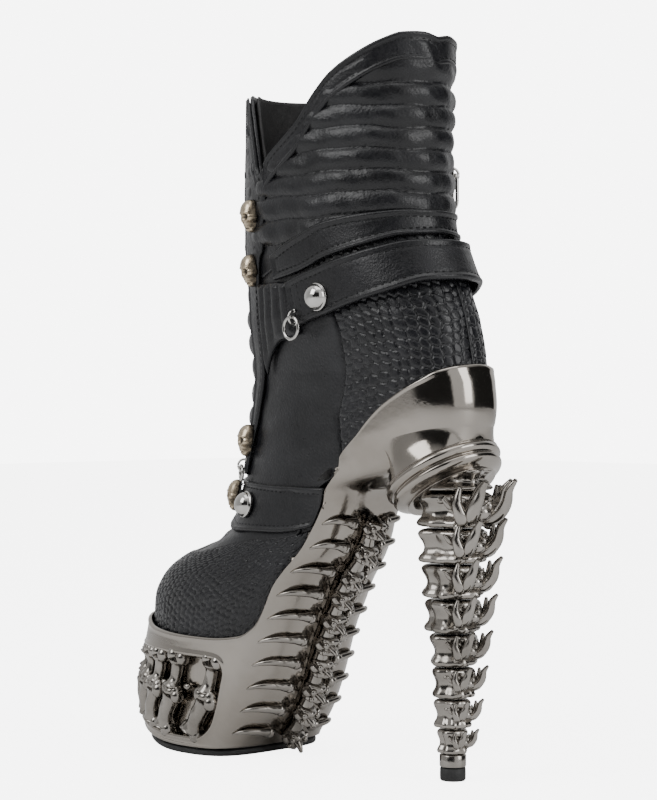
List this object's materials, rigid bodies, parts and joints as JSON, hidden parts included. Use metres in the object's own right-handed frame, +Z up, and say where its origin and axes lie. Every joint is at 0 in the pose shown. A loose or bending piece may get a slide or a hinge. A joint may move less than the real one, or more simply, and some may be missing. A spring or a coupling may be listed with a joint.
{
  "type": "platform ankle boot",
  "caption": "High-heeled platform ankle boot with a plated bone-sculpted sole unit and heel, leather upper, harness straps, studs, wire rings and a zip.",
  "frame": {"origin": "centre of the boot's box at ground level", "axes": "+Z up, toe towards -Y, heel towards +Y, outer side of the foot towards +X"},
  "size_m": [0.0856, 0.2285, 0.3445],
  "materials": {
    "leather": "smooth black leather, soft sheen",
    "scale_leather": "black leather embossed with scales",
    "lining": "matt black lining",
    "plated": "gunmetal chrome plating on moulded plastic",
    "pewter": "antique pewter, dark in its hollows",
    "steel": "polished",
    "rubber": "matt",
    "board": "fibre board",
    "foam": "moulded core",
    "zip_tape": "woven tape with metal teeth"
  },
  "bodies": {
    "root": {"ankle_band_inner": "leather", "ankle_band_outer": "leather", "ankle_dome_inner": "steel", "ankle_dome_outer": "steel", "ankle_keeper_inner": "steel", "ankle_keeper_outer": "steel", "ankle_strap": "leather", "bone_insert": "plated", "collar_band_inner": "leather", "collar_band_outer": "leather", "counter_inner": "scale_leather", "counter_outer": "scale_leather", "counter_stiffener": "board", "forepart_board": "board", "front_panel": "leather", "gathered_strap_inner": "leather", "gathered_strap_outer": "leather", "heel_collar": "plated", "heel_column": "plated", "heel_pin": "steel", "heel_seat_block": "foam", "heel_tip": "rubber", "instep_dome_inner": "steel", "instep_dome_outer": "steel", "instep_keeper_inner": "steel", "instep_keeper_outer": "steel", "instep_strap": "leather", "lining": "lining", "outsole": "rubber", "placket_inner": "leather", "placket_outer": "leather", "platform_filler": "foam", "platform_shell": "plated", "quarter_inner": "leather", "quarter_outer": "leather", "rib_spine": "plated", "shaft_panel_inner": "leather", "shaft_panel_outer": "leather", "shank_board": "board", "skull_stud_1_inner": "pewter", "skull_stud_1_outer": "pewter", "skull_stud_2_inner": "pewter", "skull_stud_2_outer": "pewter", "skull_stud_3_inner": "pewter", "skull_stud_3_outer": "pewter", "skull_stud_4_inner": "pewter", "skull_stud_4_outer": "pewter", "sock_lining": "lining", "steel_shank": "steel", "toe_puff": "board", "vamp": "scale_leather", "vamp_lining": "lining", "zip_chain_inner": "zip_tape", "zip_chain_outer": "zip_tape"},
    "ankle_ring_outer": {"ankle_ring_outer": "steel"},
    "ankle_ring_inner": {"ankle_ring_inner": "steel"},
    "instep_ring_outer": {"instep_ring_outer": "steel"},
    "instep_ring_inner": {"instep_ring_inner": "steel"},
    "zip_slider": {"zip_slider": "steel"},
    "zip_pull": {"zip_pull": "steel"}
  },
  "joints": [
    {"name": "zip_slide", "type": "slide", "parent": "root", "child": "zip_slider", "axis": [0, 0, 1], "range_m": [-0.012, 0.03]},
    {"name": "zip_pull_swing", "type": "hinge", "parent": "zip_slider", "child": "zip_pull", "pos_m": [-0.03127, 0.0583, 0.283], "axis": [0.5085, 0.8611, 0], "range_deg": [-2, 80]},
    {"name": "ankle_ring_outer_swing", "type": "hinge", "parent": "root", "child": "ankle_ring_outer", "pos_m": [0.0381, 0.01694, 0.214], "axis": [-0.0765, -0.9971, 0], "range_deg": [-2, 70]},
    {"name": "instep_ring_outer_swing", "type": "hinge", "parent": "root", "child": "instep_ring_outer", "pos_m": [0.02095, -0.03611, 0.1426], "axis": [-0.5358, -0.8443, 0], "range_deg": [-2, 70]},
    {"name": "ankle_ring_inner_swing", "type": "hinge", "parent": "root", "child": "ankle_ring_inner", "pos_m": [-0.0381, 0.01694, 0.214], "axis": [-0.0765, 0.9971, 0], "range_deg": [-2, 70]},
    {"name": "instep_ring_inner_swing", "type": "hinge", "parent": "root", "child": "instep_ring_inner", "pos_m": [-0.02095, -0.03611, 0.1426], "axis": [-0.5358, 0.8443, 0], "range_deg": [-2, 70]}
  ]
}
